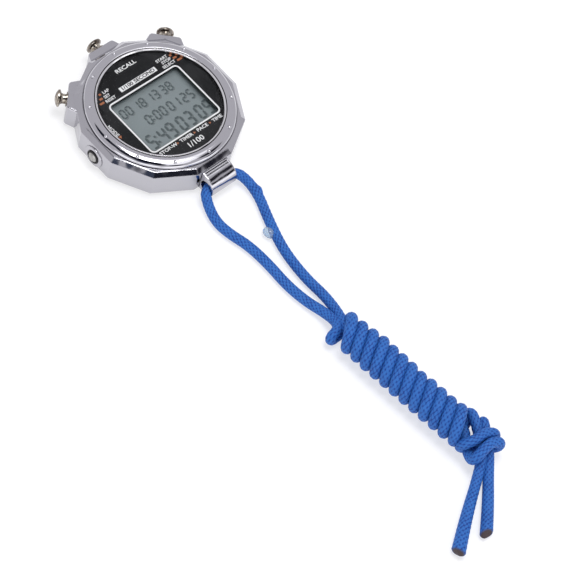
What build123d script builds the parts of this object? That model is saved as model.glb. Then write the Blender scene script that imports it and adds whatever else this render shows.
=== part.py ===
"""Handheld digital stopwatch: twelve-sided metal case, four push buttons and a wound lanyard.

Millimetres. The watch lies on its back: +Z out of the dial, +Y to 12 o'clock, +X to 3 o'clock.
The origin is the centre of the rear cover's outer face.
"""
import os
from math import asin, cos, hypot, pi, radians, sin, tan

from build123d import *

# Case
SIDES = 12
CASE_FLAT_R = 32.75          # centre to the middle of a flat
CASE_LOW_Z = 1.0             # lower rim of the case
WALL_TOP_Z = 11.8            # top of the upright walls
BEVEL_TOP_Z = 13.4           # top of the sloping facets
BEVEL_TOP_R = 30.8           # centre to the middle of a flat, up there
CAVITY_R = 27.6              # inner bore that holds the movement
FLANGE_LOW_Z = 12.2          # underside of the flange that carries the dial
FLANGE_TOP_Z = 13.8
FLANGE_HOLE_R = 24.3
RECESS_R = 31.1              # counterbore that takes the rear cover
RECESS_TOP_Z = 2.9
RIM_ROUND = 1.1

# Dial side
RING_IN_R = 26.1
RING_OUT_R = 30.2
RING_SEAT_Z = 13.2
RING_TOP_Z = 15.7
STUD_R = 28.3                # circle of the twelve studs
STUD_DIA = 1.5
STUD_RISE = 0.45
TRIM_IN_R = 24.95
TRIM_OUT_R = 25.75
TRIM_TOP_Z = 15.9
CRYSTAL_LOW_Z = 14.2
CRYSTAL_TOP_Z = 15.3
WINDOW_W = 34.6
WINDOW_H = 26.0
WINDOW_Y = -2.6              # centre of the display window
WINDOW_ROUND = 1.8

# Display and movement
LCD_W = 38.0
LCD_H = 30.0
LCD_LOW_Z = 9.9
LCD_TOP_Z = 11.9
BOARD_TOP_Z = 7.9
BOARD_T = 1.0
BOARD_R = 27.0
FRAME_R = 27.3
COVER_TOP_Z = 2.4            # inner face of the rear cover

# Buttons
PUSHER_ANGLES = {"recall": 0.0, "start": 45.0, "reset": -45.0}   # clockwise from 12 o'clock
PUSHER_Z = 8.6
PUSHER_TRAVEL = 1.2
MODE_Z = 6.0
MODE_ANGLE = -90.0
MODE_TRAVEL = 0.8
TAB_OUT = 36.1               # dial axis to the outer face of a pusher's shoulder
TAB_TOP_HALF = 6.2
TAB_BASE_HALF = 8.3
STEM_R = 2.0
FIT = 0.05                   # radial clearance of a running fit
ROD_R = 0.8

# Lug and lanyard
LUG_HALF_W = 6.5
EYE_Y = -36.1
EYE_Z = 5.4
EYE_R = 2.9
CORD_D = 4.1
COIL_START = (-7.7, -115.2)
COIL_END = (-1.3, -173.8)
COIL_R = 7.1


def clock(angle, radius, z=0.0):
    """Point on the dial, with the angle clockwise from 12 o'clock."""
    return Vector(radius * sin(radians(angle)), radius * cos(radians(angle)), z)


def radial(angle, z, s=0.0):
    """Location whose Z axis points outwards along a clock angle, s from the dial axis."""
    out = clock(angle, 1.0)
    return Location(Plane(origin=clock(angle, s, z), x_dir=(0, 0, 1), z_dir=(out.X, out.Y, 0)))


def ring(r_in, r_out, low, high):
    """Plain ring about the dial axis."""
    wall = Pos(0, 0, low) * extrude(Circle(r_out), high - low)
    return wall - Pos(0, 0, low) * extrude(Circle(r_in), high - low)


def disc(r, low, high):
    """Plain disc about the dial axis."""
    return Pos(0, 0, low) * extrude(Circle(r), high - low)


def box(x0, x1, y0, y1, z0, z1):
    """Box from its six faces."""
    size = (x1 - x0, y1 - y0, z1 - z0)
    centre = ((x0 + x1) / 2, (y0 + y1) / 2, (z0 + z1) / 2)
    return Pos(*centre) * Box(*size)


def polygon_face(flat_r, z):
    """Face of the case outline, with its flats at the clock positions."""
    outline = RegularPolygon(radius=flat_r, side_count=SIDES, major_radius=False)
    return Pos(0, 0, z) * Rot(0, 0, 180.0 / SIDES) * outline


def lathe(points):
    """Solid turned about the local Z axis from (radius, height) points."""
    return revolve(Plane.XZ * make_face(Polyline(*points, close=True)), Axis.Z)


def tab(angle):
    """Shoulder around a pusher, splayed towards the case."""
    base = CASE_FLAT_R - 1.9
    outline = Polyline(
        (-TAB_BASE_HALF, base),
        (-TAB_TOP_HALF, TAB_OUT),
        (TAB_TOP_HALF, TAB_OUT),
        (TAB_BASE_HALF, base),
        close=True,
    )
    block = Pos(0, 0, CASE_LOW_Z) * extrude(make_face(outline), WALL_TOP_Z - CASE_LOW_Z)
    corners = block.edges().filter_by(Axis.Z).sort_by(Axis.Y)[-2:]
    block = fillet(corners, 1.6)
    rims = block.faces().sort_by(Axis.Z)
    front = [e for e in rims[-1].edges() + rims[0].edges() if e.center().Y > base + 0.4]
    block = fillet(front, 0.7)
    return Rot(0, 0, -angle) * block


def pusher_bore(angle):
    """Stepped hole for a pusher: bush seat, spring chamber and rod guide."""
    seat = radial(angle, PUSHER_Z, 33.0) * extrude(Circle(2.9), 6.0)
    chamber = radial(angle, PUSHER_Z, 29.6) * extrude(Circle(STEM_R + FIT), 6.0)
    guide = radial(angle, PUSHER_Z, 24.5) * extrude(Circle(ROD_R + FIT), 6.0)
    return seat + chamber + guide


def mode_bore():
    """Stepped hole for the recessed button."""
    seat = radial(MODE_ANGLE, MODE_Z, 30.6) * extrude(Circle(2.9), 6.0)
    guide = radial(MODE_ANGLE, MODE_Z, 24.5) * extrude(Circle(ROD_R + FIT), 8.0)
    return seat + guide


SCREW_ANGLES = (22.5, 112.5, 202.5, 292.5)
SCREW_CIRCLE_R = 29.4


def front_case():
    """Case: walls, sloping facets, shoulders and the flange that carries the dial."""
    walls = extrude(polygon_face(CASE_FLAT_R, CASE_LOW_Z), WALL_TOP_Z - CASE_LOW_Z)
    low_rim = walls.faces().sort_by(Axis.Z)[0].edges()
    walls = fillet(low_rim, RIM_ROUND)
    slope = loft([polygon_face(CASE_FLAT_R, WALL_TOP_Z), polygon_face(BEVEL_TOP_R, BEVEL_TOP_Z)])
    body = walls + slope + disc(RING_IN_R - 0.1, BEVEL_TOP_Z, FLANGE_TOP_Z)
    for angle in PUSHER_ANGLES.values():
        body += tab(angle)
    boss = radial(MODE_ANGLE, MODE_Z, 30.6) * extrude(Circle(4.7), 2.75)
    body += fillet(boss.edges().filter_by(GeomType.CIRCLE).sort_by(Axis.X)[:1], 0.4)
    body -= disc(RECESS_R, CASE_LOW_Z - 1.0, RECESS_TOP_Z)
    body -= disc(CAVITY_R, RECESS_TOP_Z - 0.5, FLANGE_LOW_Z)
    body -= disc(FLANGE_HOLE_R, FLANGE_LOW_Z - 0.5, FLANGE_TOP_Z + 1.0)
    body -= ring(RING_IN_R - 0.1, RING_OUT_R + 0.02, RING_SEAT_Z, BEVEL_TOP_Z + 1.0)
    for angle in PUSHER_ANGLES.values():
        body -= pusher_bore(angle)
    body -= mode_bore()
    body -= box(-4.55, 4.55, -CASE_FLAT_R - 1.0, -30.0, 3.15, 7.85)
    for angle in SCREW_ANGLES:
        body -= Pos(*clock(angle, SCREW_CIRCLE_R, RECESS_TOP_Z)) * Cylinder(
            1.0, 4.6, align=(Align.CENTER, Align.CENTER, Align.MIN)
        )
    return body


def bezel_ring():
    """Raised ring round the dial, with a rounded shoulder and twelve small studs."""
    edge = (RING_OUT_R, 13.7)
    crest = (28.25, RING_TOP_Z)
    foot = Polyline((RING_IN_R, RING_TOP_Z - 0.2), (RING_IN_R, RING_SEAT_Z), (RING_OUT_R, RING_SEAT_Z), edge)
    shoulder = ThreePointArc(edge, (29.62, 15.11), crest)
    flat = Polyline(crest, (RING_IN_R + 0.2, RING_TOP_Z), (RING_IN_R, RING_TOP_Z - 0.2))
    body = revolve(Plane.XZ * make_face(foot + shoulder + flat), Axis.Z)
    stud_low = RING_TOP_Z - 0.6
    dome_r = STUD_DIA / 2
    for k in range(SIDES):
        stud = Pos(*clock(30.0 * k, STUD_R, stud_low)) * extrude(Circle(dome_r), 0.6 + STUD_RISE)
        stud = fillet(stud.edges().sort_by(Axis.Z)[-1:], 0.35)
        body += stud
    return body


def trim_ring():
    """Polished ring that holds the crystal."""
    low = FLANGE_TOP_Z
    section = Polyline(
        (TRIM_IN_R, low),
        (TRIM_OUT_R, low),
        (TRIM_OUT_R, TRIM_TOP_Z - 0.15),
        (TRIM_OUT_R - 0.15, TRIM_TOP_Z),
        (TRIM_IN_R + 0.3, TRIM_TOP_Z),
        (TRIM_IN_R, TRIM_TOP_Z - 0.35),
        close=True,
    )
    return revolve(Plane.XZ * make_face(section), Axis.Z)


def crystal_gasket():
    """Black plastic gasket between the trim ring and the bezel ring."""
    return ring(TRIM_OUT_R, RING_IN_R, FLANGE_TOP_Z, RING_TOP_Z - 0.6)


def crystal():
    """Flat mineral crystal with a bevelled edge."""
    body = disc(TRIM_IN_R - 0.03, CRYSTAL_LOW_Z, CRYSTAL_TOP_Z)
    return chamfer(body.edges().sort_by(Axis.Z)[-1:], 0.2)


def window_face(grow=0.0):
    """Rounded display window."""
    return Pos(0, WINDOW_Y) * RectangleRounded(WINDOW_W + 2 * grow, WINDOW_H + 2 * grow, WINDOW_ROUND + grow)


def dial_plate():
    """Printed plate under the crystal, with the display window."""
    body = disc(TRIM_IN_R - 0.03, FLANGE_TOP_Z, CRYSTAL_LOW_Z)
    return body - Pos(0, 0, FLANGE_TOP_Z) * extrude(window_face(), 1.0)


def lcd_panel():
    """Liquid-crystal cell: two glasses, the lower one with a contact ledge at each side."""
    lower = box(-LCD_W / 2, LCD_W / 2, WINDOW_Y - LCD_H / 2, WINDOW_Y + LCD_H / 2, LCD_LOW_Z, 10.9)
    upper = box(-LCD_W / 2, LCD_W / 2, WINDOW_Y - 13.6, WINDOW_Y + 13.6, 10.9, LCD_TOP_Z)
    return lower + upper


def lcd_reflector():
    """Reflector film behind the cell."""
    return box(-16.6, 16.6, WINDOW_Y - 11.6, WINDOW_Y + 11.6, LCD_LOW_Z - 0.2, LCD_LOW_Z)


def zebra_strip(side):
    """Elastomer strip that joins the cell to the board, at one edge of the cell."""
    y = WINDOW_Y + side * 13.0
    return box(-16.4, 16.4, y - 1.0, y + 1.0, BOARD_TOP_Z, LCD_LOW_Z)


def switch_notch(angle, z0, z1, inner):
    """Block cut from the rim of an inner part, to clear a button's rod and clip."""
    block = box(-3.6, 3.6, inner, inner + 12.0, z0, z1)
    return Rot(0, 0, -angle) * block


BOARD_SCREWS = ((-12.0, 19.0), (12.0, 19.0), (-12.0, -20.5), (14.0, -19.5))


def movement_frame():
    """Moulded frame that holds the cell between the flange and the board."""
    body = disc(FRAME_R, BOARD_TOP_Z, FLANGE_LOW_Z)
    body -= box(-LCD_W / 2, LCD_W / 2, WINDOW_Y - LCD_H / 2, WINDOW_Y + LCD_H / 2, LCD_LOW_Z, 13.0)
    body -= box(-17.0, 17.0, WINDOW_Y - 14.3, WINDOW_Y + 14.3, BOARD_TOP_Z - 1.0, LCD_LOW_Z + 1.0)
    for angle in PUSHER_ANGLES.values():
        body -= switch_notch(angle, BOARD_TOP_Z - 1.0, 11.2, 21.4)
    for x, y in BOARD_SCREWS:
        body -= Pos(x, y, BOARD_TOP_Z) * Cylinder(0.75, 3.2, align=(Align.CENTER, Align.CENTER, Align.MIN))
    return body


def circuit_board():
    """Round circuit board, notched for the buttons' clips."""
    body = disc(BOARD_R, BOARD_TOP_Z - BOARD_T, BOARD_TOP_Z)
    for angle in PUSHER_ANGLES.values():
        body -= switch_notch(angle, 0.0, 12.0, 24.3)
    body -= switch_notch(MODE_ANGLE, 0.0, 12.0, 24.9)
    for x, y in BOARD_SCREWS:
        body -= Pos(x, y, BOARD_TOP_Z - BOARD_T / 2) * Cylinder(0.8, 2.0)
    return body


def chip():
    """Bonded chip under its drop of epoxy."""
    low = BOARD_TOP_Z - BOARD_T
    body = Pos(9.0, 12.5, low - 1.1) * extrude(Circle(4.2), 1.1)
    return fillet(body.edges().sort_by(Axis.Z)[:1], 0.9)


def quartz():
    """Tuning-fork crystal in its can, lying against the board."""
    can = Pos(-18.5, -8.0, BOARD_TOP_Z - BOARD_T - 1.05) * Rot(90, 0, 0) * Cylinder(1.05, 6.0)
    return fillet(can.edges().filter_by(GeomType.CIRCLE), 0.25)


BATTERY_X = 2.0
BATTERY_Y = -13.5
BATTERY_R = 10.0
BATTERY_LOW_Z = 3.1
BATTERY_T = 3.2


def battery():
    """Lithium coin cell, 20 mm by 3.2 mm."""
    body = Pos(BATTERY_X, BATTERY_Y, BATTERY_LOW_Z) * extrude(Circle(BATTERY_R), BATTERY_T)
    return fillet(body.edges(), 0.3)


def battery_clip():
    """Sprung strap under the cell, with a leg to the board at each side."""
    board_low = BOARD_TOP_Z - BOARD_T
    reach = BATTERY_R + 0.3
    gauge = 0.3
    half_w = 2.2
    y0 = BATTERY_Y - half_w
    y1 = BATTERY_Y + half_w
    strap = box(BATTERY_X - reach - gauge, BATTERY_X + reach + gauge, y0, y1, BATTERY_LOW_Z - gauge, BATTERY_LOW_Z)
    for side in (-1, 1):
        x = BATTERY_X + side * (reach + gauge / 2)
        strap += box(x - gauge / 2, x + gauge / 2, y0, y1, BATTERY_LOW_Z - gauge, board_low)
        foot = x + side * 0.9
        strap += box(min(x, foot), max(x, foot), y0, y1, board_low - gauge, board_low)
    return strap


def battery_contact():
    """Leaf that presses on the top of the cell."""
    low = BATTERY_LOW_Z + BATTERY_T
    high = BOARD_TOP_Z - BOARD_T
    leaf = box(BATTERY_X - 1.5, BATTERY_X + 1.5, BATTERY_Y - 5.0, BATTERY_Y + 4.0, high - 0.2, high)
    return leaf + box(BATTERY_X - 1.5, BATTERY_X + 1.5, BATTERY_Y + 2.0, BATTERY_Y + 4.0, low, high)


BUZZER_X = -9.5
BUZZER_Y = 10.5


def buzzer_disc():
    """Piezo sounder bonded to the rear cover: brass disc with a smaller ceramic on it."""
    brass = Pos(BUZZER_X, BUZZER_Y, COVER_TOP_Z) * extrude(Circle(9.0), 0.25)
    return brass + Pos(BUZZER_X, BUZZER_Y, COVER_TOP_Z + 0.25) * extrude(Circle(6.2), 0.2)


def wire_spring(mean_r, wire_r, length, turns):
    """Helical spring along +Z, its ends just inside 0 and length."""
    rise = length - 2.0 * wire_r - 0.02
    path = Helix(pitch=rise / turns, height=rise, radius=mean_r)
    section = Plane(origin=path @ 0, z_dir=path % 0) * Circle(wire_r)
    return Pos(0, 0, wire_r + 0.01) * sweep(section, path=path, is_frenet=True)


def buzzer_spring():
    """Contact spring between the sounder and the board."""
    low = COVER_TOP_Z + 0.45
    length = BOARD_TOP_Z - BOARD_T - low
    return Pos(BUZZER_X, BUZZER_Y, low) * wire_spring(1.4, 0.18, length, 4)


def spacer_ring():
    """Ring between the rear cover and the board, open where the recessed button works."""
    body = ring(25.5, 27.2, COVER_TOP_Z, BOARD_TOP_Z - BOARD_T)
    return body - switch_notch(MODE_ANGLE, 3.2, 9.0, 22.0)


def rear_cover():
    """Rear cover: a raised rim seats in the case, and the plate stands proud as the foot."""
    body = disc(RECESS_R - 0.1, CASE_LOW_Z, COVER_TOP_Z)
    body += ring(28.5, RECESS_R - 0.1, COVER_TOP_Z, RECESS_TOP_Z)
    plate = disc(RECESS_R - 0.5, 0.0, CASE_LOW_Z)
    body += chamfer(plate.edges().sort_by(Axis.Z)[:1], 0.35)
    body -= ring(20.6, 21.2, -0.5, 0.3)
    for angle in SCREW_ANGLES:
        at = Pos(*clock(angle, SCREW_CIRCLE_R, 0.0))
        body -= at * Cylinder(1.7, 2.4)
        body -= at * Cylinder(1.05, 9.0)
    return body


def cover_gasket():
    """Flat gasket between the rear cover and the case."""
    return ring(27.7, 28.45, COVER_TOP_Z, RECESS_TOP_Z)


def screw(head_r, head_t, shank_r, length):
    """Cross-head screw, head down, with the underside of its head at z = 0."""
    head = Pos(0, 0, -head_t) * extrude(Circle(head_r), head_t)
    head = fillet(head.edges().sort_by(Axis.Z)[:1], 0.25)
    slot = Pos(0, 0, -head_t) * Box(head_r * 1.25, 0.35, 0.7)
    body = head + extrude(Circle(shank_r), length)
    return body - slot - Rot(0, 0, 90) * slot


def rear_cover_screws():
    """Four screws that hold the rear cover."""
    group = []
    for angle in SCREW_ANGLES:
        group.append(Pos(*clock(angle, SCREW_CIRCLE_R, 1.2)) * screw(1.6, 0.95, 0.95, 5.4))
    return Compound(children=group)


def board_screws():
    """Four screws that hold the board to the movement frame."""
    low = BOARD_TOP_Z - BOARD_T
    return Compound(children=[Pos(x, y, low) * screw(1.3, 0.8, 0.7, 3.8) for x, y in BOARD_SCREWS])


def crown(r, low, high):
    """Arc of a dome centred on the axis, from its rim to its top."""
    rise = high - low
    ball_r = (r**2 + rise**2) / (2 * rise)
    half = asin(r / ball_r) / 2
    middle = (ball_r * sin(half), high - ball_r + ball_r * cos(half))
    return ThreePointArc((r, low), middle, (0.0, high))


def pusher(angle):
    """Mushroom-headed button with its stem, seal groove and rod, along a clock angle."""
    groove_r = 1.465
    profile = Polyline(
        (0.0, 25.6),
        (0.6, 25.6),
        (ROD_R, 25.8),
        (ROD_R, 27.0),
        (0.55, 27.0),
        (0.55, 27.45),
        (ROD_R, 27.45),
        (ROD_R, 33.6),
        (STEM_R, 33.6),
        (STEM_R, 34.4),
        (groove_r, 34.4),
        (groove_r, 35.0),
        (STEM_R, 35.0),
        (STEM_R, 37.7),
        (2.3, 38.4),
        (3.15, 38.75),
        (3.5, 39.0),
        (3.5, 39.55),
    )
    outline = profile + crown(3.5, 39.55, 40.85) + Line((0.0, 40.85), (0.0, 25.6))
    return radial(angle, PUSHER_Z) * revolve(Plane.XZ * make_face(outline), Axis.Z)


def clip(angle, z, s):
    """Retaining clip on a button's rod, just inside the case wall."""
    at = radial(angle, z, s)
    washer = at * extrude(Circle(1.6) - Circle(0.56), 0.4)
    return washer - at * Pos(1.3, 0, 0.2) * Box(2.6, 0.8, 1.0)


def seal(angle, z, s, major=1.745):
    """O-ring in the groove of a button's stem."""
    return radial(angle, z, s) * Torus(major, 0.28)


def pusher_bush(angle):
    """Pressed bush that guides a pusher's stem in its shoulder."""
    at = radial(angle, PUSHER_Z, 33.0)
    body = extrude(Circle(2.9) - Circle(STEM_R + FIT), 3.4)
    edge = body.edges().filter_by(GeomType.CIRCLE).sort_by(Axis.Z)[-1:]
    return at * chamfer(edge, 0.15)


def pusher_spring(angle):
    """Return spring round a pusher's rod."""
    return radial(angle, PUSHER_Z, 29.6) * wire_spring(1.35, 0.18, 4.0, 5)


def switch_leaf(angle, z0, z1, foot_z):
    """Contact leaf on the board, just past the end of a button's stroke."""
    contact = 24.25
    gauge = 0.2
    half_w = 1.2
    upright = box(-half_w, half_w, contact - gauge, contact, z0, z1)
    foot = box(-half_w, half_w, contact - 2.4, contact, foot_z, foot_z + gauge)
    return Rot(0, 0, -angle) * (upright + foot)


def mode_bush():
    """Bright collar round the recessed button."""
    at = radial(MODE_ANGLE, MODE_Z, 30.6)
    body = extrude(Circle(2.9) - Circle(2.35), 3.1)
    edge = body.edges().filter_by(GeomType.CIRCLE).sort_by(Axis.Z)[-1:]
    return at * chamfer(edge, 0.15)


def mode_button():
    """Small domed button that stands in its collar."""
    profile = Polyline(
        (0.0, 25.25),
        (0.6, 25.25),
        (ROD_R, 25.45),
        (ROD_R, 27.0),
        (0.55, 27.0),
        (0.55, 27.45),
        (ROD_R, 27.45),
        (ROD_R, 32.3),
        (2.1, 32.3),
        (2.1, 33.7),
    )
    outline = profile + crown(2.1, 33.7, 34.6) + Line((0.0, 34.6), (0.0, 25.25))
    return radial(MODE_ANGLE, MODE_Z) * revolve(Plane.XZ * make_face(outline), Axis.Z)


def mode_spring():
    """Return spring of the recessed button."""
    return radial(MODE_ANGLE, MODE_Z, 30.6) * wire_spring(1.35, 0.16, 1.7, 3)


def lanyard_lug():
    """Cast lug on the 6 o'clock wall: ribbed top, rolled outer end and a crosswise eye."""
    wall_y = -CASE_FLAT_R
    top = Polyline((wall_y, 1.4), (wall_y, 11.2), (-34.6, 10.9))
    nose = ThreePointArc((-34.6, 10.9), (-38.5, 9.0), (-40.0, 5.6))
    heel = ThreePointArc((-40.0, 5.6), (-39.3, 2.7), (-37.2, 1.4))
    outline = top + nose + heel + Line((-37.2, 1.4), (wall_y, 1.4))
    side = Plane(origin=(-LUG_HALF_W, 0, 0), x_dir=(0, 1, 0), z_dir=(1, 0, 0))
    body = extrude(side * make_face(outline), 2 * LUG_HALF_W)
    ends = [e for e in body.edges() if abs(abs(e.center().X) - LUG_HALF_W) < 0.01]
    ends = [e for e in ends if e.center().Y < wall_y - 0.3]
    body = fillet(ends, 0.5)
    for y, depth in ((-33.55, 0.7), (-34.6, 0.45)):
        body -= box(-5.6, 5.6, y - 0.2, y + 0.2, 11.1 - depth, 12.0)
    eye = Plane(origin=(-10, EYE_Y, EYE_Z), x_dir=(0, 1, 0), z_dir=(1, 0, 0))
    body -= extrude(eye * Circle(EYE_R), 20.0)
    rims = [e for e in body.edges().filter_by(GeomType.CIRCLE) if abs(e.radius - EYE_R) < 0.01]
    body = fillet(rims, 0.25)
    return body + box(-4.5, 4.5, wall_y - 0.1, -30.05, 3.2, 7.8)


# Lanyard: one cord, threaded through the lug's eye, with its two legs wound and knotted together
LEFT_ROUTE = (
    (0.0, -36.1, 5.4),
    (-7.2, -36.1, 5.3),
    (-10.2, -42.5, 2.8),
    (-11.9, -49.8, 2.15),
    (-10.9, -57.2, 2.15),
    (-8.9, -65.2, 2.15),
    (-8.4, -75.6, 2.15),
    (-8.9, -86.4, 2.15),
    (-8.0, -96.4, 2.15),
    (-8.7, -105.6, 4.2),
    (-10.1, -115.8, 6.2),
)
RIGHT_ROUTE = (
    (0.0, -36.1, 5.4),
    (7.4, -36.1, 5.3),
    (10.6, -42.8, 2.9),
    (9.7, -50.2, 2.15),
    (6.8, -57.6, 2.15),
    (3.8, -65.2, 2.15),
    (1.2, -73.4, 2.15),
    (-0.2, -82.0, 2.15),
    (-0.7, -90.6, 2.15),
    (-0.7, -98.8, 2.5),
    (-2.5, -107.4, 4.9),
    (-5.3, -115.9, 7.6),
)
LEFT_TAIL = (
    (-2.5, -186.2, 3.2),
    (-9.5, -190.8, 2.15),
    (-18.4, -196.7, 2.15),
    (-27.4, -202.4, 2.15),
    (-36.0, -208.2, 2.15),
)
RIGHT_TAIL = (
    (2.6, -188.2, 3.2),
    (-3.4, -193.3, 2.15),
    (-9.8, -198.7, 2.15),
    (-15.9, -204.2, 2.15),
    (-22.1, -209.4, 2.15),
)


def corner_radii(route):
    """The radius that each inner point of a route allows."""
    points = [Vector(*p) for p in route]
    radii = []
    for a, b, c in zip(points, points[1:], points[2:]):
        turn = (b - a).get_angle(c - b)
        shorter = min((b - a).length, (c - b).length)
        radii.append(0.45 * shorter / tan(radians(turn) / 2))
    return radii


def cord_tube(name, route):
    """Plain tube along straight runs and tangent arcs."""
    radii = corner_radii(route)
    path = FilletPolyline(*route, radius=radii)
    start = Plane(origin=path @ 0, z_dir=path % 0)
    tube = sweep(start * Circle(CORD_D / 2), path=path)
    section = pi * CORD_D**2 / 4
    print(
        name,
        "length %.1f" % path.length,
        "volume ratio %.4f" % (tube.volume / (section * path.length)),
        "radii",
        " ".join("%.1f" % r for r in radii),
    )
    return tube


def cord_coil():
    """Outer shape of the wound part of the lanyard."""
    (x0, y0), (x1, y1) = COIL_START, COIL_END
    length = hypot(x1 - x0, y1 - y0)
    along = Plane(origin=(x0, y0, COIL_R + 0.05), z_dir=(x1 - x0, y1 - y0, 0))
    body = along * extrude(Circle(COIL_R), length)
    return fillet(body.edges().filter_by(GeomType.CIRCLE), 2.4)


def cord_knot():
    """Outer shape of the knot in the lanyard's two legs."""
    return Pos(1.2, -182.0, 6.9) * Rot(0, 0, 10) * scale(Sphere(1.0), by=(9.0, 9.4, 6.8))


def main():
    """Build every piece and write one file for each."""
    coil = cord_coil()
    knot = cord_knot() - coil
    parts = {
        "front_case": front_case(),
        "bezel_ring": bezel_ring(),
        "dial_trim_ring": trim_ring(),
        "crystal_gasket": crystal_gasket(),
        "crystal": crystal(),
        "dial_plate": dial_plate(),
        "lcd_panel": lcd_panel(),
        "lcd_reflector": lcd_reflector(),
        "zebra_strip_upper": zebra_strip(1),
        "zebra_strip_lower": zebra_strip(-1),
        "movement_frame": movement_frame(),
        "circuit_board": circuit_board(),
        "bonded_chip": chip(),
        "quartz_can": quartz(),
        "battery": battery(),
        "battery_clip": battery_clip(),
        "battery_contact": battery_contact(),
        "buzzer_disc": buzzer_disc(),
        "buzzer_spring": buzzer_spring(),
        "spacer_ring": spacer_ring(),
        "rear_cover": rear_cover(),
        "cover_gasket": cover_gasket(),
        "rear_cover_screws": rear_cover_screws(),
        "board_screws": board_screws(),
        "mode_button": mode_button(),
        "mode_bush": mode_bush(),
        "mode_spring": mode_spring(),
        "mode_clip": clip(MODE_ANGLE, MODE_Z, 27.02),
        "mode_switch_leaf": switch_leaf(MODE_ANGLE, 4.6, BOARD_TOP_Z - BOARD_T, BOARD_TOP_Z - BOARD_T - 0.2),
        "lanyard_lug": lanyard_lug(),
        "cord_left_leg": cord_tube("left leg", LEFT_ROUTE) - coil,
        "cord_right_leg": cord_tube("right leg", RIGHT_ROUTE) - coil,
        "cord_coil": coil,
        "cord_knot": knot,
        "cord_left_tail": cord_tube("left tail", LEFT_TAIL) - knot,
        "cord_right_tail": cord_tube("right tail", RIGHT_TAIL) - knot,
    }
    for name, angle in PUSHER_ANGLES.items():
        parts[name + "_pusher"] = pusher(angle)
        parts[name + "_pusher_bush"] = pusher_bush(angle)
        parts[name + "_spring"] = pusher_spring(angle)
        parts[name + "_clip"] = clip(angle, PUSHER_Z, 27.02)
        parts[name + "_seal"] = seal(angle, PUSHER_Z, 34.7)
        parts[name + "_switch_leaf"] = switch_leaf(angle, BOARD_TOP_Z, 10.0, BOARD_TOP_Z)
    os.makedirs("parts", exist_ok=True)
    for name, shape in parts.items():
        export_step(shape, "parts/%s.step" % name)


main()
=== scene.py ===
"""Digital stopwatch with a polished twelve-sided case and a wound, braided lanyard."""
import math

import bmesh
import bpy
from mathutils import Matrix, Vector


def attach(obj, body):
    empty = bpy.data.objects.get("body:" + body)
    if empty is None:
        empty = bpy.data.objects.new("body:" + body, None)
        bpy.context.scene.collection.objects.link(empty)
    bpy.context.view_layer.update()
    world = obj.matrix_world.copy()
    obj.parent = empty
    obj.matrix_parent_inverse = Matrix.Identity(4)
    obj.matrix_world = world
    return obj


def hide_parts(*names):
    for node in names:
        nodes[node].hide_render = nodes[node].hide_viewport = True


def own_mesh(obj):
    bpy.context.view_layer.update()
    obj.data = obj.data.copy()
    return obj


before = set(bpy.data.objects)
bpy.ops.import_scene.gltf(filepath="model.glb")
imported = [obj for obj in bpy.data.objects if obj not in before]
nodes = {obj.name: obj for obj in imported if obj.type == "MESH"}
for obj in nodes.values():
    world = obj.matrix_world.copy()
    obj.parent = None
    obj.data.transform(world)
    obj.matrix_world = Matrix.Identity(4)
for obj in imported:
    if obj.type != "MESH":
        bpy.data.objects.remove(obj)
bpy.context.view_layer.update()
MM = 0.001
scene = bpy.context.scene


# ---------------------------------------------------------------- materials

def linear(code):
    """sRGB hex to the linear colour that a shader takes."""
    parts = [int(code[i:i + 2], 16) / 255 for i in (1, 3, 5)]
    return [c / 12.92 if c <= 0.04045 else ((c + 0.055) / 1.055) ** 2.4 for c in parts] + [1.0]


def node(tree, kind, settings=None, links=None):
    """Adds a node, gives its settings and sockets their values, and links its inputs."""
    made = tree.nodes.new(kind)
    for key, value in (settings or {}).items():
        if isinstance(key, str) and hasattr(made, key):
            setattr(made, key, value)
        else:
            made.inputs[key].default_value = value
    for key, source in (links or {}).items():
        tree.links.new(source, made.inputs[key])
    return made


def new_material(name):
    """An empty node material with its Principled shader and the object's own coordinates."""
    made = bpy.data.materials.new(name)
    made.use_nodes = True
    tree = made.node_tree
    shader = tree.nodes["Principled BSDF"]
    place = node(tree, "ShaderNodeTexCoord").outputs["Object"]
    return made, tree, shader, place


def finish_with(shader, settings):
    for key, value in settings.items():
        shader.inputs[key].default_value = value


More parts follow.
